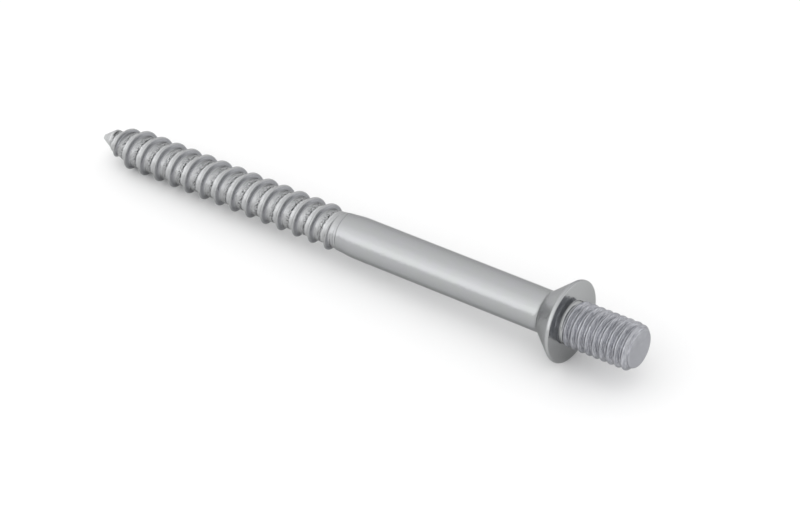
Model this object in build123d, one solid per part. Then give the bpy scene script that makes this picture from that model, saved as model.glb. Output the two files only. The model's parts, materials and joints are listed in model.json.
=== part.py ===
from build123d import *
from math import atan, ceil, cos, degrees, radians, sin, tan
import os

# Hanger bolt with a collar: one piece of cold-formed steel with rolled threads, in millimetres.
# It is drawn upright, point down, with its axis on Z and z = 0 on the collar's front face, and
# is laid down on its collar's rim and its thread's crests at the end.

# Machine end: M6 x 1, drawn as a cylinder at the thread's major diameter
STUD_D = 5.9
STUD_LENGTH = 9.4
STUD_CHAMFER = 0.58

# Collar: flat front face, narrow rim with broken edges, conical back that seats in a countersink
COLLAR_D = 10.4
COLLAR_LAND = 0.42
RIM_CHAMFER = 0.12
CONE_ANGLE = 80.0
CONE_FILLET = 0.9

# Plain shank, and the neck that narrows from it to the root of the wood thread
SHANK_D = 5.32
SHANK_LENGTH = 28.0
NECK_LENGTH = 3.9
NECK_ROUND = 8.0

# Wood thread: one coarse ridge on a root that tapers over its last turns
ROOT_D = 4.4
ROOT_LENGTH = 31.75
TAPER_LENGTH = 3.7
CREST_D = 5.55
PITCH = 2.485
HAND = -1  # -1 for a left-hand thread, 1 for a right-hand one

# Section of the ridge: flank angles are from the radial direction
CREST_WIDTH = 0.16
POINT_FLANK_ANGLE = 31.0
STUD_FLANK_ANGLE = 21.0
BURIED_DEPTH = 0.12

# Start and run-out of the ridge
START_ANGLE = 132.0  # from the bolt's underside, as it lies
START_LEAD = 0.15
START_TURNS = 0.12
START_SHARE = 0.35
RISE_TURNS = 1.3
OVERRUN_TURNS = 0.6  # from the neck's foot to the ridge's end
RUNOUT_TURNS = 0.42

# Pinched point: a blunt cone with four flats, whose base is pushed over to one side
POINT_D = 2.6
POINT_LENGTH = 1.75
POINT_SHIFT = 0.23
POINT_ANGLE = 140.0  # direction of the shift, from the underside
TIP_D = 0.6
TIP_ROUND = 0.2
FLAT_DEPTH = 0.1

STEPS_PER_TURN = 16
LEAST_SHARE = 0.04

collar_height = COLLAR_LAND + (COLLAR_D - SHANK_D) / 2 / tan(radians(CONE_ANGLE / 2))
neck_top = -collar_height - SHANK_LENGTH
neck_bottom = neck_top - NECK_LENGTH
taper_top = neck_bottom - ROOT_LENGTH
taper_bottom = taper_top - TAPER_LENGTH
point_bottom = taper_bottom - POINT_LENGTH

ridge_height = (CREST_D - ROOT_D) / 2
ridge_start = taper_bottom - START_LEAD
ridge_turns = (neck_bottom - ridge_start) / PITCH + OVERRUN_TURNS


def body():
    """The bolt's turned form, from the end of the stud down to the base of the point."""
    corners = [
        ((STUD_D / 2 - STUD_CHAMFER, STUD_LENGTH), 0),
        ((STUD_D / 2, STUD_LENGTH - STUD_CHAMFER), 0),
        ((STUD_D / 2, 0), 0),
        ((COLLAR_D / 2 - RIM_CHAMFER, 0), 0),
        ((COLLAR_D / 2, -RIM_CHAMFER), 0),
        ((COLLAR_D / 2, -COLLAR_LAND), 0),
        ((SHANK_D / 2, -collar_height), CONE_FILLET),
        ((SHANK_D / 2, neck_top), NECK_ROUND),
        ((ROOT_D / 2, neck_bottom), 0),
        ((ROOT_D / 2, taper_top), 0),
        ((POINT_D / 2, taper_bottom), 0),
    ]
    top = (0, STUD_LENGTH)
    bottom = (0, taper_bottom)
    outline = FilletPolyline(
        top, *[place for place, _ in corners], bottom, radius=[radius for _, radius in corners]
    )
    profile = make_face(outline + Line(bottom, top))
    return revolve(Plane.XZ * profile, Axis.Z)


def point():
    """The pinched point: a cone from a shifted base, with four flats that fade out at the base."""
    base = Plane((POINT_SHIFT, 0, taper_bottom))
    tip = Plane((0, 0, point_bottom))
    cone = loft([base * Circle(POINT_D / 2), tip * Circle(TIP_D / 2)])
    cone = fillet(cone.faces().sort_by(Axis.Z)[0].edges(), TIP_ROUND)
    tip_width = TIP_D - 2 * FLAT_DEPTH
    flats = loft([base * Rectangle(POINT_D, POINT_D), tip * Rectangle(tip_width, tip_width)])
    return Rot(0, 0, POINT_ANGLE) * (cone & flats)


def root_radius(z):
    """Radius of the root that carries the ridge at height z, on the neck, the root or the taper."""
    if z > neck_bottom:
        return ROOT_D / 2 + (z - neck_bottom) * (SHANK_D - ROOT_D) / 2 / NECK_LENGTH
    if z < taper_top:
        return ROOT_D / 2 - (taper_top - z) * (ROOT_D - POINT_D) / 2 / TAPER_LENGTH
    return ROOT_D / 2


def smooth_step(share):
    """A smooth rise from 0 to 1 as share goes from 0 to 1."""
    share = min(max(share, 0.0), 1.0)
    return share * share * (3 - 2 * share)


def ridge_share(turn):
    """Size of the ridge's section at a turn, as a share of its full size."""
    rise = START_SHARE + (1 - START_SHARE) * smooth_step(turn / RISE_TURNS)
    begun = smooth_step(turn / START_TURNS)
    left = smooth_step((ridge_turns - turn) / RUNOUT_TURNS)
    return rise * begun * left


def section():
    """Corners of the ridge's section: offset along the axis and height above the root."""
    shoulder = CREST_WIDTH / 2
    depth = ridge_height + BURIED_DEPTH
    return [
        (-shoulder - depth * tan(radians(POINT_FLANK_ANGLE)), -BURIED_DEPTH),
        (-shoulder, ridge_height),
        (shoulder, ridge_height),
        (shoulder + depth * tan(radians(STUD_FLANK_ANGLE)), -BURIED_DEPTH),
    ]


def ridge_point(turn, offset, height):
    """Radius and z of a corner of the section at a turn. A small section lies below the root."""
    z = ridge_start + PITCH * turn
    share = max(ridge_share(turn), LEAST_SHARE)
    radius = root_radius(z) - BURIED_DEPTH + (height + BURIED_DEPTH) * share
    return radius, z + offset * share


def ridge_turn(first, last):
    """One stretch of the ridge: strips ruled between helical curves through its section's corners."""
    steps = ceil((last - first) * STEPS_PER_TURN)
    curves = []
    for offset, height in section():
        points = []
        for step in range(steps + 1):
            turn = first + (last - first) * step / steps
            radius, z = ridge_point(turn, offset, height)
            angle = radians(START_ANGLE + HAND * 360 * turn)
            points.append((radius * cos(angle), radius * sin(angle), z))
        curves.append(Spline(points))
    strips = [
        Face.make_surface_from_curves(curve, curves[(index + 1) % len(curves)])
        for index, curve in enumerate(curves)
    ]
    ends = [
        make_face(Polyline(*[curve.position_at(place) for curve in curves], close=True)).face()
        for place in (0, 1)
    ]
    return Solid(Shell(strips + ends))


def ridge():
    """The thread's ridge, as equal stretches of about one turn that meet end to end."""
    count = ceil(ridge_turns)
    return [
        ridge_turn(ridge_turns * index / count, ridge_turns * (index + 1) / count)
        for index in range(count)
    ]


def rest_tilt():
    """Rise of the axis towards the stud, in degrees, with rim and crests on one flat surface."""
    under_turn = START_ANGLE / 360 * -HAND % 1
    rises = []
    for whole in range(int(ridge_turns)):
        radius, z = ridge_point(under_turn + whole, 0, ridge_height)
        rises.append((COLLAR_D / 2 - radius) / (-COLLAR_LAND - z))
    return degrees(atan(min(rises)))


hanger_bolt = (body() + point()).fuse(*ridge())
hanger_bolt = Rot(0, 90 - rest_tilt(), 0) * hanger_bolt

os.makedirs("parts", exist_ok=True)
export_step(hanger_bolt, "parts/hanger_bolt.step")
print("hanger_bolt", len(hanger_bolt.solids()), "solid, valid:", hanger_bolt.is_valid)
print("axis rises", round(rest_tilt(), 3), "degrees towards the stud")
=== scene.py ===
# %% [markdown]
# # A hanger bolt in bright zinc
# The real part is one piece of cold-formed steel: a coarse wood thread with a pinched point, a
# plain shank, a collar with a conical back and a short M6 machine thread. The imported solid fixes
# its place and its size. Here it gets what the solid leaves out: rounded crests and roots, the
# real machine thread, broken edges, and the zinc that covers it.

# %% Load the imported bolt
import json
from math import atan2, ceil, cos, degrees, hypot, pi, radians, sin, tan

import bmesh
import bpy
from mathutils import Matrix, Vector, noise


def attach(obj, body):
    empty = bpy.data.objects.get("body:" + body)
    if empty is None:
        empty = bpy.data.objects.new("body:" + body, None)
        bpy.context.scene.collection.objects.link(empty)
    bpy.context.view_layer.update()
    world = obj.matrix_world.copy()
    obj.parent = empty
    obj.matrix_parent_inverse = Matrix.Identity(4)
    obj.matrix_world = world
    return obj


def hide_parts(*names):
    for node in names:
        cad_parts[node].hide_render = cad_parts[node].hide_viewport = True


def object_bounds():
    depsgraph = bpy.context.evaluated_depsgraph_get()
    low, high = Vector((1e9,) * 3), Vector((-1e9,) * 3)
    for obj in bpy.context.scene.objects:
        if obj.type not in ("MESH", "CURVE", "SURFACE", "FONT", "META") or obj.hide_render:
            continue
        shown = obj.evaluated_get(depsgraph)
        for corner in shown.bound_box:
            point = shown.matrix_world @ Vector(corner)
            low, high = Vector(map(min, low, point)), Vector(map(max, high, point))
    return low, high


MM = 0.001
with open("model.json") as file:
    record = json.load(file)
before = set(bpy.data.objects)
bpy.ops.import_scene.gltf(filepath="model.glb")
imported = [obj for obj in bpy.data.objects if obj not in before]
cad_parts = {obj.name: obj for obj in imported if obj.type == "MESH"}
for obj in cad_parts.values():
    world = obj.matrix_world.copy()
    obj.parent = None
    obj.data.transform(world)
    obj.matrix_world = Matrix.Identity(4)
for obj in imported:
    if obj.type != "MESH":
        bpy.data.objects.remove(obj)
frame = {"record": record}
cad_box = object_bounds()


def in_mm(box):
    """A box's two corners in millimetres, for printing."""
    return [[round(value / MM, 2) for value in corner] for corner in box]


print("solid's box, mm:", in_mm(cad_box))

# %% [markdown]
# ## Sizes
# The bolt is drawn upright in millimetres, point down, with z = 0 on the collar's front face, and
# is laid down at the end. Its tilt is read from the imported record, because it rests on the
# collar's rim and on the crests of the thread, and so isn't level. The other sizes are the
# solid's own.

# %% Sizes, in millimetres
STUD_RADIUS = 2.95
STUD_LENGTH = 9.4
STUD_CHAMFER = 0.58
COLLAR_RADIUS = 5.2
COLLAR_LAND = 0.42
CONE_ANGLE = 80.0
SHANK_RADIUS = 2.66
SHANK_LENGTH = 28.0
NECK_LENGTH = 3.9
ROOT_RADIUS = 2.2
ROOT_LENGTH = 31.75
TAPER_LENGTH = 3.7
POINT_RADIUS = 1.3
POINT_LENGTH = 1.75
HAND = -1  # both threads are left-handed
COLUMNS = 120  # straight lines of vertices round the bolt

cone_foot = -COLLAR_LAND - (COLLAR_RADIUS - SHANK_RADIUS) / tan(radians(CONE_ANGLE / 2))
neck_top = cone_foot - SHANK_LENGTH
neck_bottom = neck_top - NECK_LENGTH
taper_top = neck_bottom - ROOT_LENGTH
taper_bottom = taper_top - TAPER_LENGTH
tip = taper_bottom - POINT_LENGTH
stud_axis = Vector(frame["record"]["mounts"][0]["axis"])
tilt = atan2(stud_axis.z, stud_axis.x)
print("tip at", round(tip, 2), "mm; axis rises", round(degrees(tilt), 3), "degrees")

# %% [markdown]
# ## Camera
# The bolt is seen from its stud's side, from above, through a long lens, so its far end is only a
# little smaller than its near end. The view is set before anything is modelled, because it
# decides how much detail each part needs.

# %% Camera
CAMERA_PLACE = Vector((142.915, -229.121, 211.137)) * MM
CAMERA_TURN = radians(36.120)
CAMERA_DIP = radians(36.746)
CAMERA_ROLL = radians(0.165)
LENS_LENGTH = 130.97
SENSOR_WIDTH = 36.0
NEAREST_SEEN = 10 * MM


def add_object(name, data):
    """A new object in the scene."""
    thing = bpy.data.objects.new(name, data)
    bpy.context.scene.collection.objects.link(thing)
    return thing


lens = bpy.data.cameras.new("camera")
lens.lens = LENS_LENGTH
lens.sensor_width = SENSOR_WIDTH
lens.clip_start = NEAREST_SEEN
camera = add_object("camera", lens)
camera.location = CAMERA_PLACE
camera.rotation_euler = (pi / 2 - CAMERA_DIP, CAMERA_ROLL, CAMERA_TURN)
bpy.context.scene.camera = camera
print("camera at", [round(value / MM) for value in camera.location], "mm")

# %% [markdown]
# ## Rounding where two forms meet
# Cold-formed steel has no knife edges: where a cone runs into a cylinder there is always a small
# radius. A soft minimum gives it without any extra geometry: away from the meeting line it
# returns the smaller of two radii, and near the line it eases from one to the other.


# %% Soft minimum and maximum
def soft_min(first, second, width):
    """The smaller of two values, eased over a width."""
    near = max(width - abs(first - second), 0.0) / width
    return min(first, second) - near * near * width / 4


def soft_max(first, second, width):
    """The larger of two values, eased over a width."""
    return -soft_min(-first, -second, width)


def smooth_step(share):
    """A smooth rise from 0 to 1."""
    share = min(max(share, 0.0), 1.0)
    return share * share * (3 - 2 * share)


print("where both radii are 2 mm, a soft minimum gives", soft_min(2.0, 2.0, 0.1), "mm")

# %% [markdown]
# ## The form under the wood thread
# Before rolling, the thread's root is a plain rod that tapers to a cone. The point was pinched
# off between two dies, which left four flats on it and pushed its base to one side, so that a
# small ledge stands out where the cone begins, with a notch above it. All of it is one formula
# for the radius at an angle and a height, so that the thread and the point can both follow it.

# %% Radius of the rod under the wood thread
TIP_RADIUS = 0.3
FLAT_DEPTH = 0.1
FLAT_EASE = 0.02
FLAT_REACH = 0.5  # cosine of the widest angle at which a flat still counts
POINT_SHIFT = 0.23
POINT_ANGLE = radians(140.0)
NECK_EASE = 0.1
TAPER_EASE = 0.12
LEDGE_EASE = 0.1
LEDGE_RISE = 0.3  # from the base of the point to the ledge's middle
NOTCH_ANGLE = radians(180.0)
NOTCH_SPREAD = radians(27.0)
NOTCH_SIDES = 2.2  # the notch is full up to 0.6 of its spread, and gone at 1.1
NOTCH_WIDTH = 0.16
NOTCH_DEPTH = 0.16


def point_radius(angle, z):
    """Radius of the pinched point: a cone with four flats, and a base pushed to one side."""
    share = max((taper_bottom - z) / POINT_LENGTH, 0.0)
    lean = POINT_SHIFT * (1 - share)
    away = angle - POINT_ANGLE
    radius = POINT_RADIUS + (TIP_RADIUS - POINT_RADIUS) * share + lean * cos(away)
    flat = POINT_RADIUS + (TIP_RADIUS - FLAT_DEPTH - POINT_RADIUS) * share
    for quarter in range(4):
        facing = cos(away - quarter * pi / 2)
        if facing > FLAT_REACH:
            flat_radius = (flat + lean * cos(quarter * pi / 2)) / facing
            radius = soft_min(radius, flat_radius, FLAT_EASE)
    return radius


def notch_drop(angle, z):
    """Depth of the notch that the dies left above the ledge, on one side."""
    off = (z - taper_bottom - LEDGE_RISE - LEDGE_EASE) / NOTCH_WIDTH
    away = ((angle - NOTCH_ANGLE + pi) % (2 * pi) - pi) / NOTCH_SPREAD
    return NOTCH_DEPTH * smooth_step(1 - abs(off)) * smooth_step(NOTCH_SIDES - 2 * abs(away))


def rod_radius(angle, z):
    """Radius of the rod at an angle and a height, without the ridge."""
    taper = (ROOT_RADIUS - POINT_RADIUS) / TAPER_LENGTH
    radius = soft_min(ROOT_RADIUS, ROOT_RADIUS - (taper_top - z) * taper, TAPER_EASE)
    neck = ROOT_RADIUS + (z - neck_bottom) * (SHANK_RADIUS - ROOT_RADIUS) / NECK_LENGTH
    radius = soft_min(soft_max(radius, neck, NECK_EASE), SHANK_RADIUS, NECK_EASE)
    ledge = taper_bottom + LEDGE_RISE
    if z < ledge + LEDGE_EASE:
        past = smooth_step((ledge + LEDGE_EASE - z) / (2 * LEDGE_EASE))
        radius += (point_radius(angle, z) - radius) * past
    return radius - notch_drop(angle, z)


print("rod's radius at the neck's top, the taper's top and the tip:",
      [round(rod_radius(0.0, z), 3) for z in (neck_top, taper_top, tip)])

# %% [markdown]
# ## A thread is a sheet that winds
# One pitch of the thread's section is drawn as a line, with its corners rounded by a vertex
# bevel. A spin that also climbs sweeps it into a sheet whose lower edge meets its own upper edge
# one turn on, and welding those edges gives a closed screw surface. Every crest, flank and root
# then lies along lines of the mesh, so the thread stays crisp with few faces. A plane cuts each
# end square, and the cut's circle is ready to join the plain turned parts.

# %% Thread sheet
WELD = 0.003  # copies of a turn meet within this distance
CUT_WELD = 1e-4
NEAR = 1e-3  # a vertex this near to a height lies on it
OFF_COLUMN = 0.02  # a cut adds vertices further than this from a column, in columns


def draw_section(corners, rounds):
    """A line of (z, radius) corners in a new bmesh; rounds gives some of them a bevel."""
    mesh = bmesh.new()
    verts = [mesh.verts.new((radius, 0, z)) for z, radius in corners]
    for pair in zip(verts, verts[1:]):
        mesh.edges.new(pair)
    for index, (width, steps) in rounds.items():
        bmesh.ops.bevel(mesh, geom=[verts[index]], offset=width, offset_type="OFFSET",
                        segments=steps, profile=0.5, affect="VERTICES", clamp_overlap=True,
                        material=-1)
    return mesh


def wind_section(mesh, pitch, turns):
    """Sweeps a section through one turn, stacks copies of the turn and welds them together."""
    bmesh.ops.spin(mesh, geom=mesh.verts[:] + mesh.edges[:], cent=(0, 0, 0), axis=(0, 0, 1),
                   dvec=(0, 0, pitch / COLUMNS), angle=HAND * 2 * pi, steps=COLUMNS,
                   use_merge=False, use_normal_flip=False, use_duplicate=False)
    one_turn = mesh.verts[:] + mesh.edges[:] + mesh.faces[:]
    for turn in range(1, turns):
        copy = bmesh.ops.duplicate(mesh, geom=one_turn)["geom"]
        bmesh.ops.translate(mesh, vec=(0, 0, pitch * turn),
                            verts=[item for item in copy if isinstance(item, bmesh.types.BMVert)])
    bmesh.ops.remove_doubles(mesh, verts=mesh.verts[:], dist=WELD)


def cut_square(mesh, z, upward):
    """Cuts a screw surface at z, keeps the side below (or above), and evens out the circle."""
    bmesh.ops.bisect_plane(mesh, geom=mesh.verts[:] + mesh.edges[:] + mesh.faces[:],
                           dist=CUT_WELD, plane_co=(0, 0, z),
                           plane_no=(0, 0, 1 if upward else -1), clear_outer=True)
    step = 2 * pi / COLUMNS
    between = []
    for vert in mesh.verts:
        if abs(vert.co.z - z) < NEAR:
            column = atan2(vert.co.y, vert.co.x) / step
            if abs(column - round(column)) > OFF_COLUMN:
                between.append(vert)
    bmesh.ops.dissolve_verts(mesh, verts=between)


def round_axis(radius, angle, z):
    """The place at a radius and an angle round the axis, at a height."""
    return radius * cos(angle), radius * sin(angle), z


print("a thread has", COLUMNS, "columns a turn,", round(360 / COLUMNS, 2), "degrees apart")

# %% [markdown]
# ## The wood thread's ridge
# The ridge is narrow and tall, with wide ground between its turns. It begins on the point's base
# and dies out on the neck. Two things follow each vertex of the sheet: the turn of the ridge it
# belongs to, and how far along the axis it stands from the crest. From these come the ridge's
# local size and the rod's radius below it.

# %% Course of the ridge
PITCH = 2.485
START_ANGLE = radians(132.0)
START_LEAD = 0.15
START_TURNS = 0.12
START_SHARE = 0.35
RISE_TURNS = 1.3
OVERRUN_TURNS = 0.6
RUNOUT_TURNS = 0.42

ridge_start = taper_bottom - START_LEAD
ridge_turns = (neck_bottom - ridge_start) / PITCH + OVERRUN_TURNS


def ridge_share(turn):
    """Size of the ridge at a turn, as a share of its full size."""
    rise = START_SHARE + (1 - START_SHARE) * smooth_step(turn / RISE_TURNS)
    begun = smooth_step(turn / START_TURNS)
    return rise * begun * smooth_step((ridge_turns - turn) / RUNOUT_TURNS)


def place_on_thread(x, y, z):
    """The ridge's turn nearest to a point, and the point's distance from its crest along z."""
    swept = HAND * (atan2(y, x) - START_ANGLE) / (2 * pi)
    climbed = (z - ridge_start) / PITCH
    turn = swept + round(climbed - swept)
    return turn, (climbed - turn) * PITCH


print("the ridge makes", round(ridge_turns, 2), "turns")

# %% [markdown]
# ## The seam in the ground
# Rolling pushes the metal up into the ridge and folds it over in the middle of the ground, which
# leaves a shallow, broken seam there with a slight lip on both sides. The ground also rises very
# slightly towards it. The seam wanders, so noise along the helix moves it and lets it come and go.

# %% Seam and rise of the ground
SEAM_DEPTH = 0.014
SEAM_WIDTH = 0.09
SEAM_WANDER = 0.16
SEAM_PLACE = 0.1  # from the middle of the ground, towards the stud
WANDER_RATE = 0.55  # steps of noise in a millimetre of seam
WANDER_SEED = 3.1
BREAK_RATE = 0.9
BREAK_SEED = 9.7
BREAK_LEVEL = 0.55
BREAK_SWING = 1.1
LIP_HEIGHT = 0.35  # the lip's sizes are shares of the seam's depth and width
LIP_PLACE = 1.6
LIP_WIDTH = 0.8
GROUND_CROWN = 0.035  # the ground rises this much from the ridge's foot to the seam
GROUND_FADE = 0.6


def seam_drop(turn, across):
    """Depth of the fold in the ground between the crests; it wanders and comes and goes."""
    along = turn * 2 * pi * ROOT_RADIUS
    wander = noise.noise(Vector((along * WANDER_RATE, WANDER_SEED, 0)))
    broken = noise.noise(Vector((along * BREAK_RATE, BREAK_SEED, 0)))
    off = abs(across - (SEAM_PLACE + SEAM_WANDER * wander)) / SEAM_WIDTH
    lip = LIP_HEIGHT * max(0.0, 1 - abs(off - LIP_PLACE) / LIP_WIDTH)
    strength = smooth_step(BREAK_LEVEL + BREAK_SWING * broken)
    return SEAM_DEPTH * strength * (max(0.0, 1 - off) - lip)


print("depth of the seam over four turns, mm:",
      [round(seam_drop(turn, SEAM_PLACE), 4) for turn in range(4)])

# %% [markdown]
# ## Winding the wood thread
# The section has a narrow crest and unequal flanks, steeper on the stud's side. Its edges are
# rounded as rolling leaves them, and its ground is cut into short edges, so that the seam has
# vertices to move. A few spare turns are wound at both ends and cut off later.

# %% Wood thread
CREST_HEIGHT = 0.575
CREST_WIDTH = 0.16
POINT_FLANK = radians(31.0)
STUD_FLANK = radians(21.0)
CREST_ROUND = (0.045, 3)  # width of a bevel and its segments
LOW_FOOT_ROUND = (0.10, 3)
HIGH_FOOT_ROUND = (0.18, 4)
GROUND_EDGE = 0.5  # the section's edges that are longer than this and low are its ground
GROUND_CUTS = 8
NEAR_RADIUS = 0.01
SPARE_TURNS = 2

half = CREST_WIDTH / 2
foot_low = half + CREST_HEIGHT * tan(POINT_FLANK)
foot_high = half + CREST_HEIGHT * tan(STUD_FLANK)
crest = ROOT_RADIUS + CREST_HEIGHT
middle = PITCH / 2
wood = draw_section(
    [(-middle, ROOT_RADIUS), (-foot_low, ROOT_RADIUS), (-half, crest), (half, crest),
     (foot_high, ROOT_RADIUS), (middle, ROOT_RADIUS)],
    {1: LOW_FOOT_ROUND, 4: HIGH_FOOT_ROUND, 2: CREST_ROUND, 3: CREST_ROUND})
ground = [edge for edge in wood.edges if edge.calc_length() > GROUND_EDGE and
          all(vert.co.x < ROOT_RADIUS + NEAR_RADIUS for vert in edge.verts)]
bmesh.ops.subdivide_edges(wood, edges=ground, cuts=GROUND_CUTS)
ring_count = len(wood.verts)
for vert in wood.verts:
    vert.co.z += ridge_start - SPARE_TURNS * PITCH + HAND * -START_ANGLE / (2 * pi) * PITCH
wind_section(wood, PITCH, ceil(ridge_turns) + 2 * SPARE_TURNS)
print("wood thread:", ring_count, "rings a turn,", len(wood.faces), "faces")

# %% [markdown]
# ## Setting the ridge on the rod
# The wound sheet has the same ridge everywhere. Each vertex is now moved: where the ridge is
# small it is also narrower, and the ground stretches to fill the room. The radius is the rod's,
# plus the ridge's height, and on the ground its rise less the seam.

# %% Ease the ridge in and out, and set it on the rod
LEAST_WIDTH = 0.3  # share of its width that the ridge keeps where it begins and ends
GROUND_HEIGHT = 0.1  # what stands lower than this is ground
WOOD_LOW = ridge_start - 0.2
WOOD_HIGH = -33.7

for vert in wood.verts:
    angle = atan2(vert.co.y, vert.co.x)
    height = hypot(vert.co.x, vert.co.y) - ROOT_RADIUS
    turn, offset = place_on_thread(*vert.co)
    share = ridge_share(turn)
    narrow = max(share, LEAST_WIDTH)
    foot = foot_high if offset > 0 else foot_low
    if abs(offset) <= foot:
        moved = offset * narrow
    else:
        moved = foot * narrow + (abs(offset) - foot) * (middle - foot * narrow) / (middle - foot)
        moved *= 1 if offset > 0 else -1
    z = vert.co.z + moved - offset
    valley = offset - middle if offset > 0 else offset + middle
    valley_turn = turn if offset > 0 else turn - 1
    radius = rod_radius(angle, z) + height * share
    if height < GROUND_HEIGHT:
        begun = smooth_step((z - taper_bottom) / GROUND_FADE)
        full = begun * smooth_step((neck_bottom - z) / GROUND_FADE)
        crown = GROUND_CROWN * max(0.0, 1 - abs(valley - SEAM_PLACE) / (middle - foot_low))
        radius += (crown - seam_drop(valley_turn, valley)) * full
    vert.co = round_axis(radius, angle, z)

cut_square(wood, WOOD_HIGH, True)
cut_square(wood, WOOD_LOW, False)
heights = [vert.co.z for vert in wood.verts]
print("after the cuts:", len(wood.faces), "faces,", round(min(heights), 2), "to",
      round(max(heights), 2))

# %% [markdown]
# ## The point
# The point has no ridge, so it is a plain line spun round the axis and then pushed onto the cone
# and its four flats. Its rings lie closer together than those of the thread, which keeps the
# edges between the flats sharp. The line stops just short of the end, which is rounded off later.

# %% Point
TIP_CUT = tip + 0.14
POINT_STEPS = 30
ANY_RADIUS = 1.0  # each vertex is pushed to its true radius after the spin


def turn_section(mesh):
    """Spins a line round the axis into a closed wall."""
    bmesh.ops.spin(mesh, geom=mesh.verts[:] + mesh.edges[:], cent=(0, 0, 0), axis=(0, 0, 1),
                   dvec=(0, 0, 0), angle=2 * pi, steps=COLUMNS, use_merge=True,
                   use_normal_flip=False, use_duplicate=False)


cone = draw_section([(WOOD_LOW + (TIP_CUT - WOOD_LOW) * step / POINT_STEPS, ANY_RADIUS)
                     for step in range(POINT_STEPS + 1)], {})
turn_section(cone)
for vert in cone.verts:
    angle = atan2(vert.co.y, vert.co.x)
    vert.co = round_axis(rod_radius(angle, vert.co.z), angle, vert.co.z)
print("point:", len(cone.faces), "faces")

# %% [markdown]
# ## The machine thread
# The stud is M6 with a 1 mm pitch: flanks at 60 degrees, narrow flat crests and rounded roots. It
# is wound in the same way. Next to the collar the dies ran out, so the ridge fades into the
# blank, and the ring at its foot is set to the blank's radius, where the collar's wall will meet
# it. At the free end the chamfer cuts the crests down.

# %% Machine thread
STUD_PITCH = 1.0
STUD_ROOT = 2.387
BLANK_RADIUS = 2.75
STUD_CREST = 0.16
STUD_SLOPE = radians(30.0)  # of a flank, half of the 60 degrees between two
STUD_CREST_ROUND = (0.07, 3)
STUD_ROOT_ROUND = (0.10, 3)
STUD_PHASE = 0.447  # z of a crest on local +X, past a whole pitch
STUD_LOW = 0.12
STUD_FADE = 0.38  # the ridge is full this far above STUD_LOW
STUD_HIGH = STUD_LENGTH - 0.05
CHAMFER_EASE = 0.05

flank = (STUD_RADIUS - STUD_ROOT) * tan(STUD_SLOPE)
rise = STUD_CREST / 2 + flank
stud = draw_section(
    [(-STUD_PITCH / 2, STUD_ROOT), (-rise, STUD_ROOT), (-STUD_CREST / 2, STUD_RADIUS),
     (STUD_CREST / 2, STUD_RADIUS), (rise, STUD_ROOT), (STUD_PITCH / 2, STUD_ROOT)],
    {1: STUD_ROOT_ROUND, 4: STUD_ROOT_ROUND, 2: STUD_CREST_ROUND, 3: STUD_CREST_ROUND})
for vert in stud.verts:
    vert.co.z += STUD_PHASE - SPARE_TURNS * STUD_PITCH
wind_section(stud, STUD_PITCH, ceil(STUD_LENGTH / STUD_PITCH) + 2 * SPARE_TURNS)

for vert in stud.verts:
    angle = atan2(vert.co.y, vert.co.x)
    radius = hypot(vert.co.x, vert.co.y)
    share = smooth_step((vert.co.z - STUD_LOW) / STUD_FADE)
    radius = BLANK_RADIUS + (radius - BLANK_RADIUS) * share
    chamfer = STUD_RADIUS - (vert.co.z - STUD_LENGTH + STUD_CHAMFER)
    vert.co = round_axis(soft_min(radius, chamfer, CHAMFER_EASE), angle, vert.co.z)
cut_square(stud, STUD_LOW, False)
cut_square(stud, STUD_HIGH, True)
for vert in stud.verts:
    if abs(vert.co.z - STUD_LOW) < NEAR:
        vert.co.xy = vert.co.xy.normalized() * BLANK_RADIUS
print("machine thread:", len(stud.faces), "faces")

# %% [markdown]
# ## Neck, shank and collar
# These are turned forms, so a line is spun round the axis. The line takes short steps where
# rolling left a few faint rings on the neck, and long ones elsewhere.

# %% Turned middle
NECK_RINGS = [(-33.52, 0.035, 0.08), (-33.3, -0.05, 0.08), (-33.08, 0.03, 0.1),
              (-32.8, -0.015, 0.1), (-31.95, -0.015, 0.12)]  # height on the axis, swell, half width
RING_REACH = 1.6  # half widths from a ring's middle to its end
FINE_REACH = 2.0  # half widths from a ring's middle to the last short step
FINE_STEP = 0.045
COARSE_STEP = 0.2
ONTO_SHANK = 0.6  # the steps go on this far past the neck's top

neck_line = [(WOOD_HIGH, rod_radius(0.0, WOOD_HIGH))]
while neck_line[-1][0] < neck_top + ONTO_SHANK:
    z = neck_line[-1][0]
    near_ring = any(abs(z - place) < FINE_REACH * width + FINE_STEP
                    for place, _, width in NECK_RINGS)
    z += FINE_STEP if near_ring else COARSE_STEP
    swell = sum(height * smooth_step(1 - abs(z - place) / (RING_REACH * width))
                for place, height, width in NECK_RINGS)
    neck_line.append((z, rod_radius(0.0, z) + swell))
middle_part = draw_section(neck_line + [
    (cone_foot, SHANK_RADIUS), (-COLLAR_LAND, COLLAR_RADIUS), (0, COLLAR_RADIUS),
    (0, BLANK_RADIUS), (STUD_LOW, BLANK_RADIUS)], {})
turn_section(middle_part)
print("turned middle:", len(neck_line), "rings on the neck,", len(middle_part.faces), "faces")

# %% [markdown]
# ## Rounded rims
# The sharp corners of the line became rings of edges, and a bevel rounds each ring: a wide one
# where the cone leaves the shank, and narrow ones on the collar's rim and at the stud's foot.

# %% Rounded rims
RIM_ROUND = 0.14
CONE_ROUND = 0.33
STUD_ROUND = 0.06


def round_ring(mesh, z, radius, width, steps):
    """Bevels the ring of edges that lies at z with this radius."""
    ring = [edge for edge in mesh.edges if all(
        abs(vert.co.z - z) < NEAR and abs(hypot(vert.co.x, vert.co.y) - radius) < NEAR_RADIUS
        for vert in edge.verts)]
    bmesh.ops.bevel(mesh, geom=ring, offset=width, offset_type="OFFSET", segments=steps,
                    profile=0.5, affect="EDGES", clamp_overlap=True, material=-1)
    print("rounded a ring of", len(ring), "edges at", round(z, 2))


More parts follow.
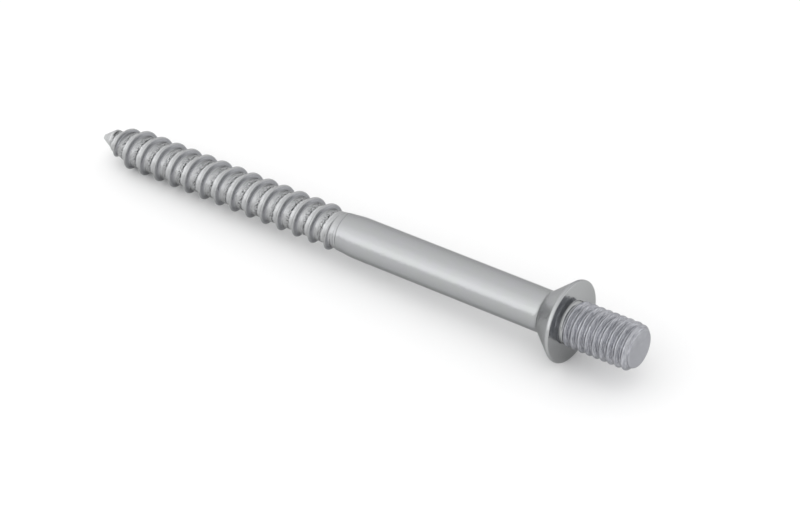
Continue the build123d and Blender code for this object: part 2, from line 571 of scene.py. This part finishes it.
round_ring(middle_part, cone_foot, SHANK_RADIUS, CONE_ROUND, 6)
round_ring(middle_part, -COLLAR_LAND, COLLAR_RADIUS, RIM_ROUND, 4)
round_ring(middle_part, 0, COLLAR_RADIUS, RIM_ROUND, 4)
round_ring(middle_part, 0, BLANK_RADIUS, STUD_ROUND, 4)

# %% [markdown]
# ## One skin
# The real bolt is one piece, so the four parts go into one mesh, and the circles where they meet
# are welded. Each open end is closed by pushing its edge inwards in a few steps and then to a
# single point. The steps round the tip, and give the stud's end its rim and its shallow dish.

# %% Join the parts and close the ends
WELD_REACH = 0.02
TIP_STEPS = [(0.94, -0.05), (0.89, -0.04), (0.8, -0.03), (0.65, -0.015), (0.4, -0.005)]
END_STEPS = [(0.985, 0.03), (0.985, 0.014), (0.98, 0.006), (0.85, 0), (0.93, -0.012),
             (0.95, -0.012), (0.7, -0.004), (0.5, 0)]


def join(target, part):
    """Moves a part's geometry into the target bmesh."""
    part_mesh = bpy.data.meshes.new("part")
    part.to_mesh(part_mesh)
    part.free()
    target.from_mesh(part_mesh)
    bpy.data.meshes.remove(part_mesh)


def close_end(mesh, z, steps):
    """Closes an open end at z: steps are (share of the radius that is kept, change of z)."""
    edges = [edge for edge in mesh.edges if edge.is_boundary and
             all(abs(vert.co.z - z) < WELD_REACH for vert in edge.verts)]
    for share, lift in steps:
        grown = bmesh.ops.extrude_edge_only(mesh, edges=edges)["geom"]
        edges = [item for item in grown if isinstance(item, bmesh.types.BMEdge)]
        ring = [item for item in grown if isinstance(item, bmesh.types.BMVert)]
        for vert in ring:
            vert.co.xy *= share
            vert.co.z += lift
    bmesh.ops.pointmerge(mesh, verts=ring, merge_co=(0, 0, ring[0].co.z))


bolt = bmesh.new()
for part in (cone, wood, middle_part, stud):
    join(bolt, part)
for z in (WOOD_LOW, WOOD_HIGH, STUD_LOW):
    meeting = [vert for vert in bolt.verts
               if vert.is_boundary and abs(vert.co.z - z) < WELD_REACH]
    bmesh.ops.remove_doubles(bolt, verts=meeting, dist=WELD_REACH)
close_end(bolt, TIP_CUT, TIP_STEPS)
close_end(bolt, STUD_HIGH, END_STEPS)
bmesh.ops.recalc_face_normals(bolt, faces=bolt.faces[:])
open_left = sum(1 for edge in bolt.edges if not edge.is_manifold)
print("bolt:", len(bolt.faces), "faces,", open_left, "open edges, volume",
      round(bolt.calc_volume(signed=True), 1), "cubic mm")

# %% [markdown]
# ## Coordinates along the thread
# The marks in the ground of the wood thread follow the helix, so the material needs to know where
# it is on it. A UV map gives that: U is the distance along the ground in millimetres, and V the
# distance from its middle. Everywhere else V is far away, and the marks don't reach.

# %% Thread map
FAR = 9.0
MAP_LOW = taper_bottom + 0.5
MAP_HIGH = neck_bottom + 1.0

uv = bolt.loops.layers.uv.new("thread")
mapped = 0
for face in bolt.faces:
    centre = face.calc_center_median()
    on_thread = MAP_LOW < centre.z < MAP_HIGH
    mapped += on_thread
    turn, offset = place_on_thread(*centre)
    for loop in face.loops:
        if not on_thread:
            loop[uv].uv = (0, FAR)
            continue
        x, y, z = loop.vert.co
        swing = (atan2(y, x) - atan2(centre.y, centre.x) + pi) % (2 * pi) - pi
        here = turn + HAND * swing / (2 * pi)
        across = z - ridge_start - here * PITCH - (middle if offset > 0 else -middle)
        along = here if offset > 0 else here - 1
        loop[uv].uv = (along * 2 * pi * ROOT_RADIUS, across)
print("thread map:", mapped, "faces on the thread")

# %% [markdown]
# ## Where the notch is
# The notch above the point is painted dark inside, as painted shade where the pinched metal folded
# over. A value on each vertex says how deep in the notch it lies, from 0 to 1, and the material
# reads it by its name.

# %% Crease map
crease = bolt.verts.layers.float.new("crease")
for vert in bolt.verts:
    vert[crease] = notch_drop(atan2(vert.co.y, vert.co.x), vert.co.z) / NOTCH_DEPTH
print("crease map:", sum(1 for vert in bolt.verts if vert[crease] > 0), "vertices in the notch")

# %% [markdown]
# ## Laying it down
# The bolt was drawn upright in millimetres, and Blender counts in metres. One matrix scales it
# and turns it about Y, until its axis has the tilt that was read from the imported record.

# %% Lay the bolt down
for face in bolt.faces:
    face.smooth = True
bmesh.ops.transform(bolt, matrix=Matrix.Scale(MM, 4) @ Matrix.Rotation(pi / 2 - tilt, 4, "Y"),
                    verts=bolt.verts[:])
shape = bpy.data.meshes.new("hanger_bolt_dressed")
bolt.to_mesh(shape)
bolt.free()
dressed = add_object("hanger_bolt_dressed", shape)
print("triangles:", sum(len(polygon.vertices) - 2 for polygon in shape.polygons))

# %% [markdown]
# ## Bright zinc on steel
# The bolt is plated with bright zinc: a grey metal with a soft sheen and a faint drift of colour
# between a greenish and a violet grey. One metal shader does it all, and masks decide where each
# mark shows. A few helpers keep that short: each makes a node, links it, and gives its output.

# %% Zinc material and helpers
zinc = bpy.data.materials.new("zinc_plated_steel")
zinc.use_nodes = True
tree = zinc.node_tree
nodes, links = tree.nodes, tree.links
surface = nodes["Principled BSDF"]


def add(kind, label, **values):
    """A new shader node; values set its properties, or its inputs by name."""
    node = nodes.new(kind)
    node.label = label
    for name, value in values.items():
        if hasattr(node, name):
            setattr(node, name, value)
        else:
            node.inputs[name].default_value = value
    return node


def maths(operation, first, second=0.0, clamp=False):
    """A Math node; each operand is a number or an output socket."""
    node = nodes.new("ShaderNodeMath")
    node.operation = operation
    node.use_clamp = clamp
    for socket, value in zip(node.inputs, (first, second)):
        if isinstance(value, (int, float)):
            socket.default_value = value
        else:
            links.new(value, socket)
    return node.outputs[0]


def texture(label, vector, scale, stretch=(1, 1, 1), kind="ShaderNodeTexNoise", **values):
    """A texture on a stretched coordinate: noise, unless another kind is named."""
    mapping = add("ShaderNodeMapping", label + " scale")
    mapping.inputs["Scale"].default_value = [scale * part for part in stretch]
    links.new(vector, mapping.inputs["Vector"])
    node = add(kind, label, **values)
    links.new(mapping.outputs[0], node.inputs["Vector"])
    return node


def ease(value, low, high):
    """A smooth step of a socket, from 0 at low to 1 at high."""
    node = add("ShaderNodeMapRange", "ease", interpolation_type="SMOOTHSTEP")
    links.new(value, node.inputs["Value"])
    node.inputs["From Min"].default_value = low
    node.inputs["From Max"].default_value = high
    return node.outputs[0]


def fade(value, low, high):
    """A smooth step of a socket, from 1 at low to 0 at high."""
    return maths("SUBTRACT", 1.0, ease(value, low, high))


print("shader:", surface.name)

# %% [markdown]
# ## Zones along the bolt
# The plating looks a little different on each part of the bolt, because the steel below it was
# rolled, drawn or pressed. The X coordinate of the object tells the parts apart.

# %% Zones, in millimetres along the bolt
STUD_FOOT = (0.22, 0.35)
STUD_END = (9.2, 9.4)
COLLAR_FACE = (-0.35, -0.2)
THREAD_TOP = (-35.0, -33.0)
POINT_BASE = (-71.0, -70.4)

place = add("ShaderNodeTexCoord", "place").outputs["Object"]
length = add("ShaderNodeSeparateXYZ", "along the bolt")
links.new(place, length.inputs[0])


def past(limits):
    """A mask that is 0 before a pair of limits along the bolt and 1 past them."""
    return ease(length.outputs[0], limits[0] * MM, limits[1] * MM)


on_stud = past(STUD_FOOT)
on_rings = maths("SUBTRACT", on_stud, past(STUD_END))
on_face = maths("SUBTRACT", past(COLLAR_FACE), on_stud)
on_wood = maths("SUBTRACT", 1.0, past(THREAD_TOP))
on_point = maths("SUBTRACT", 1.0, past(POINT_BASE))
print("zones:", len(nodes), "nodes so far")

# %% [markdown]
# ## The seam, painted dark as shade
# The fold in the ground is painted dark, as painted shade inside it. It shows as two thin lines
# near the middle of the ground, which wander and break up. Each is a distance from a place across
# the ground, moved by one noise and broken by another.

# %% Seam lines
SEAM_SWING = 0.7
SEAM_HALF_WIDTH = (0.085, 0.14)  # from fully dark to nothing
GAP_EDGE = 0.04
FIRST_LINE = SEAM_PLACE + 0.06
SECOND_LINE = SEAM_PLACE - 0.18
SECOND_START = 37.0  # so that the two lines don't wander together

thread = add("ShaderNodeUVMap", "thread map", uv_map="thread").outputs[0]
split = add("ShaderNodeSeparateXYZ", "across the ground")
links.new(thread, split.inputs[0])
across_ground = split.outputs[1]


def seam_line(label, line_place, start, gaps):
    """A mask for a broken line of painted shade along the thread, at a distance from the ground's
    middle.

    Higher gaps leave less of the line."""
    run = add("ShaderNodeVectorMath", label + " start", operation="ADD")
    links.new(thread, run.inputs[0])
    run.inputs[1].default_value = (start, start, 0)
    wander = texture(label + " wander", run.outputs[0], 1.0, (1, 0.2, 1), Detail=1.5)
    swing = maths("MULTIPLY", maths("SUBTRACT", wander.outputs[0], 0.5), SEAM_SWING)
    off = maths("ABSOLUTE", maths("ADD", maths("SUBTRACT", across_ground, line_place), swing))
    breaks = texture(label + " breaks", run.outputs[0], 2.4, (1, 0.3, 1), Detail=1.0)
    line = fade(off, *SEAM_HALF_WIDTH)
    return maths("MULTIPLY", line, ease(breaks.outputs[0], gaps, gaps + GAP_EDGE))


# where the seam is painted dark as shade; the same mask also cuts the groove into the relief
seam = maths("MAXIMUM", seam_line("seam", FIRST_LINE, 0.0, 0.48),
             seam_line("second seam", SECOND_LINE, SECOND_START, 0.55))
print("seam:", len(nodes), "nodes so far")

# %% [markdown]
# ## Painted flank reflection, cracks and flakes
# The ridge's flank on the stud's side is painted darker down to its foot, as a painted dark
# reflection.
# Beside the seam, small cracks make an irregular net, painted dark as shade inside them, which is
# the edge distance of a Voronoi texture, and torn flakes of metal catch the light. The pinched
# point has a bright speckle.

# %% Marks
FLANK_REFLECTION_LOW = (-1.17, -1.07)  # across the ground, in millimetres
FLANK_REFLECTION_HIGH = (-0.88, -0.74)
CRACK_BAND = (0.2, 0.4)
CRACK_WIDTH = (0.04, 0.1)
CRACK_PARTS = (0.46, 0.53)
CRACK_STRENGTH = 0.5
FLAKE_BAND = (0.3, 0.55)
FLAKE_LEVEL = (0.52, 0.57)
SPECKLE_LEVEL = (0.42, 0.6)
CREASE_STRENGTH = 1.7

# the ridge's flank on the stud's side, painted darker as a painted dark reflection
painted_reflection = maths("MULTIPLY", ease(across_ground, *FLANK_REFLECTION_LOW), fade(across_ground, *FLANK_REFLECTION_HIGH))
band = fade(maths("ABSOLUTE", across_ground), *CRACK_BAND)
net = texture("crack net", thread, 1.9, (0.8, 1.3, 1), "ShaderNodeTexVoronoi",
              feature="DISTANCE_TO_EDGE")
net_part = texture("crack parts", thread, 1.2, Detail=2.0)
# the cracks are painted dark as shade in them, and are also cut into the relief
cracks = fade(net.outputs["Distance"], *CRACK_WIDTH)
cracks = maths("MULTIPLY", cracks, ease(net_part.outputs[0], *CRACK_PARTS))
cracks = maths("MULTIPLY", cracks, band)

flakes = texture("flakes", thread, 3.2, (0.8, 1.2, 1), Detail=2.5, Roughness=0.6)
flake_band = fade(maths("ABSOLUTE", maths("SUBTRACT", across_ground, SEAM_PLACE)), *FLAKE_BAND)
speckle = texture("speckle", place, 3000.0, Detail=2.0)
bright_flakes = maths(
    "MAXIMUM", maths("MULTIPLY", flake_band, ease(flakes.outputs[0], *FLAKE_LEVEL)),
    maths("MULTIPLY", on_point, ease(speckle.outputs[0], *SPECKLE_LEVEL)))

# how deep in the notch a point lies, which paints shade there
painted_crease_shade = add("ShaderNodeAttribute", "crease map", attribute_name="crease").outputs["Fac"]
# painted shade: the seam, the cracks and the notch, darkened together
painted_shade = maths("MAXIMUM", maths("MAXIMUM", seam, maths("MULTIPLY", cracks, CRACK_STRENGTH)),
              maths("MULTIPLY", painted_crease_shade, CREASE_STRENGTH, clamp=True))
print("marks:", len(nodes), "nodes so far")

# %% [markdown]
# ## Grain of the steel
# Plating follows the steel below it. The shank was drawn, which leaves fine lines along it, so
# that noise is stretched along X. The stud was rolled, which leaves lines round it, so that noise
# is squeezed along X. The other noises are the same in all directions, from a slow drift of the
# plating down to a fine mottle.

# %% Grain
lines = texture("drawn lines", place, 1.0, (90, 4200, 4200), Detail=3.0)
rolled = texture("rolled lines", place, 1.0, (3600, 260, 260), Detail=3.0)
waves = texture("waves", place, 520.0, Detail=2.0)
drift = texture("drift", place, 140.0, Detail=3.0)
mottle = texture("mottle", place, 1900.0, Detail=4.0)
hammered = texture("hammered", place, 1500.0, Detail=1.5)
print("grain:", len(nodes), "nodes so far")

# %% [markdown]
# ## Colour
# The layers of colour lie over one another, from the plating to the marks, and each mask says
# where its layer covers the ones below it.

# %% Colour
GREENISH = (0.39, 0.4, 0.4, 1)
VIOLET = (0.393, 0.398, 0.409, 1)
STUD_GREY = (0.392, 0.398, 0.43, 1)
FACE_GREY = (0.41, 0.417, 0.42, 1)
THREAD_GREY = (0.418, 0.424, 0.428, 1)
# painted dark reflection on the flank on the stud's side
PAINTED_REFLECTION_GREY = (0.27, 0.275, 0.288, 1)
DARK_STREAK = (0.20, 0.205, 0.235, 1)
BRIGHT_STREAK = (0.62, 0.625, 0.66, 1)
FLAKE_GREY = (0.86, 0.87, 0.88, 1)
# painted shade inside the seam, the cracks and the notch
PAINTED_SHADE_GREY = (0.015, 0.016, 0.018, 1)
METAL_TINT = (0.56, 0.56, 0.56, 1)
DRIFT_RANGE = (0.35, 0.65)
DARK_RANGE = (0.52, 0.66)
BRIGHT_RANGE = (0.46, 0.34)  # a falling step: the low parts of the noise are bright


def blend(label, first, second, share):
    """Mixes two colours, each a colour or a socket, by a share."""
    node = add("ShaderNodeMix", label, data_type="RGBA")
    for name, value in (("A", first), ("B", second)):
        if isinstance(value, tuple):
            node.inputs[name].default_value = value
        else:
            links.new(value, node.inputs[name])
    links.new(share, node.inputs["Factor"])
    return node.outputs["Result"]


def streaks(limits, strength):
    """A mask for streaks round the stud, where the rolled lines pass a pair of limits."""
    return maths("MULTIPLY", on_rings,
                 maths("MULTIPLY", ease(rolled.outputs[0], *limits), strength))


colour = blend("plating", GREENISH, VIOLET, ease(drift.outputs[0], *DRIFT_RANGE))
for label, layer, share in (
        ("plating on the stud", STUD_GREY, maths("MULTIPLY", on_stud, 0.8)),
        ("plating on the face", FACE_GREY, on_face),
        ("plating on the wood thread", THREAD_GREY, on_wood),
        # painted dark reflection on the flank
        ("dragged flank", PAINTED_REFLECTION_GREY, painted_reflection),
        ("dark streaks round the stud", DARK_STREAK, streaks(DARK_RANGE, 0.6)),
        ("bright streaks round the stud", BRIGHT_STREAK, streaks(BRIGHT_RANGE, 0.7)),
        ("flakes", FLAKE_GREY, maths("MULTIPLY", bright_flakes, 0.8)),
        # painted shade inside the seam, the cracks and the notch
        ("painted_shade", PAINTED_SHADE_GREY, painted_shade)):
    colour = blend(label, colour, layer, share)
links.new(colour, surface.inputs["Base Color"])
surface.inputs["Specular Tint"].default_value = METAL_TINT
print("colour:", len(nodes), "nodes so far")

# %% [markdown]
# ## Sheen and relief
# The threads are a little less metallic than the shank, because rolling left them rough. The
# pressed face of the collar is the smoothest part. The relief adds up the grains and the marks,
# each at a height in millimetres, and a bump node turns it into light and shade.

# %% Sheen and relief
THREAD_DULL = 0.15
STUD_DULL = 0.1
ROUGHNESS = 0.19
MOTTLE_ROUGHNESS = 0.1
FACE_POLISH = 0.09
LINES_HEIGHT = 0.0015
WAVES_HEIGHT = 0.02
MOTTLE_HEIGHT = 0.002
HAMMERED_HEIGHT = 0.03
ROLLED_HEIGHT = 0.06
MARKS_HEIGHT = -0.02
FLAKES_HEIGHT = 0.04

dull = maths("ADD", maths("MULTIPLY", on_wood, THREAD_DULL), maths("MULTIPLY", on_stud, STUD_DULL))
links.new(maths("SUBTRACT", 1.0, dull), surface.inputs["Metallic"])
rough = maths("ADD", ROUGHNESS, maths("MULTIPLY", mottle.outputs[0], MOTTLE_ROUGHNESS))
rough = maths("SUBTRACT", rough, maths("MULTIPLY", on_face, FACE_POLISH))
links.new(rough, surface.inputs["Roughness"])

relief = maths("MULTIPLY", lines.outputs[0], LINES_HEIGHT)
for layer, height in (
        (waves.outputs[0], WAVES_HEIGHT),
        (mottle.outputs[0], MOTTLE_HEIGHT),
        (maths("MULTIPLY", on_wood, hammered.outputs[0]), HAMMERED_HEIGHT),
        (maths("MULTIPLY", on_rings, rolled.outputs[0]), ROLLED_HEIGHT),
        (maths("MAXIMUM", seam, cracks), MARKS_HEIGHT),
        (maths("MULTIPLY", flake_band, flakes.outputs[0]), FLAKES_HEIGHT)):
    relief = maths("ADD", relief, maths("MULTIPLY", layer, height))
bump = add("ShaderNodeBump", "relief", Strength=1.0, Distance=MM)
links.new(relief, bump.inputs["Height"])
links.new(bump.outputs[0], surface.inputs["Normal"])
shape.materials.append(zinc)
print("zinc:", len(nodes), "nodes")

# %% [markdown]
# ## Floor
# The bolt lies on a plain white floor, which is dull, so that it shows no reflection. It turns
# dark only where the bolt lies close to it.

# %% Floor
FLOOR_HALF = 1.2
FLOOR_WHITE = (0.92, 0.92, 0.92, 1)

paper = bpy.data.materials.new("white_floor")
paper.use_nodes = True
paper_surface = paper.node_tree.nodes["Principled BSDF"]
paper_surface.inputs["Base Color"].default_value = FLOOR_WHITE
paper_surface.inputs["Roughness"].default_value = 1.0
paper_surface.inputs["Specular IOR Level"].default_value = 0.0
sheet = bmesh.new()
bmesh.ops.create_grid(sheet, x_segments=1, y_segments=1, size=FLOOR_HALF)
bmesh.ops.translate(sheet, vec=(0, 0, cad_box[0][2]), verts=sheet.verts[:])
floor_shape = bpy.data.meshes.new("floor")
sheet.to_mesh(floor_shape)
sheet.free()
floor_shape.materials.append(paper)
floor = add_object("floor", floor_shape)
print("floor:", 2 * FLOOR_HALF, "m across, at", round(cad_box[0][2] / MM, 2), "mm")

# %% [markdown]
# ## Light
# Metal shows its surroundings, so the surroundings are most of its look. One soft lamp stands in
# front of the bolt. The rest is the room itself, painted on the sky by direction: brighter in
# front of the bolt than behind it, dark straight beyond the stud, which draws the dark flanks of
# its thread, and bright again to the right of that.

# %% Lamp
BOLT_MIDDLE = Vector((-0.032, 0, 0))
LAMP_PLACE = Vector((-0.55, -0.9, 0.3))
LAMP_SIZE = (1.2, 0.5)
LAMP_POWER = 0.36

light = bpy.data.lights.new("front_softbox", "AREA")
light.shape = "RECTANGLE"
light.size, light.size_y = LAMP_SIZE
light.energy = LAMP_POWER
lamp = add_object("front_softbox", light)
lamp.location = LAMP_PLACE
lamp.rotation_euler = (LAMP_PLACE - BOLT_MIDDLE).to_track_quat("Z", "Y").to_euler()
print("lamp:", round(LAMP_PLACE.length, 2), "m away,", LAMP_POWER, "W")

# %% Room
FRONT = (-0.5, -0.85, 0.15)
RIGHT = (0.80, 0.59, 0.08)
BEYOND = (0.99, 0.05, -0.10)
BASE_NEAR = (-0.4, 1.0)
BASE_LEVELS = (0.965, 1.375)  # behind the bolt and in front of it
PATCHES = [(FRONT, (0.45, 0.95), (0, 0.25)), (RIGHT, (0.88, 0.98), (0, 0.45)),
           (BEYOND, (0.94, 0.985), (0, -0.75))]  # direction, nearness to it, what it adds

world = bpy.data.worlds.new("room")
world.use_nodes = True
room = world.node_tree
direction = room.nodes.new("ShaderNodeTexCoord").outputs["Generated"]


def toward(place, near, levels, soft=True):
    """Brightness that changes between two levels as a direction nears a place in the room."""
    facing = room.nodes.new("ShaderNodeVectorMath")
    facing.operation = "DOT_PRODUCT"
    room.links.new(direction, facing.inputs[0])
    facing.inputs[1].default_value = place
    change = room.nodes.new("ShaderNodeMapRange")
    change.interpolation_type = "SMOOTHSTEP" if soft else "LINEAR"
    room.links.new(facing.outputs["Value"], change.inputs["Value"])
    for name, value in zip(("From Min", "From Max", "To Min", "To Max"), near + levels):
        change.inputs[name].default_value = value
    return change.outputs[0]


brightness = toward(FRONT, BASE_NEAR, BASE_LEVELS, soft=False)
for patch in PATCHES:
    total = room.nodes.new("ShaderNodeMath")
    total.operation = "ADD"
    room.links.new(brightness, total.inputs[0])
    room.links.new(toward(*patch), total.inputs[1])
    brightness = total.outputs[0]
background = room.nodes["Background"]
room.links.new(brightness, background.inputs["Strength"])
background.inputs["Color"].default_value = (1, 1, 1, 1)
bpy.context.scene.world = world
bpy.context.scene.view_settings.view_transform = "Standard"
print("room:", len(PATCHES), "patches on the sky")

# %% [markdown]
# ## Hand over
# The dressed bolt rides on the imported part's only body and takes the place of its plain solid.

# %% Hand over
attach(dressed, "root")
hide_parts("hanger_bolt")
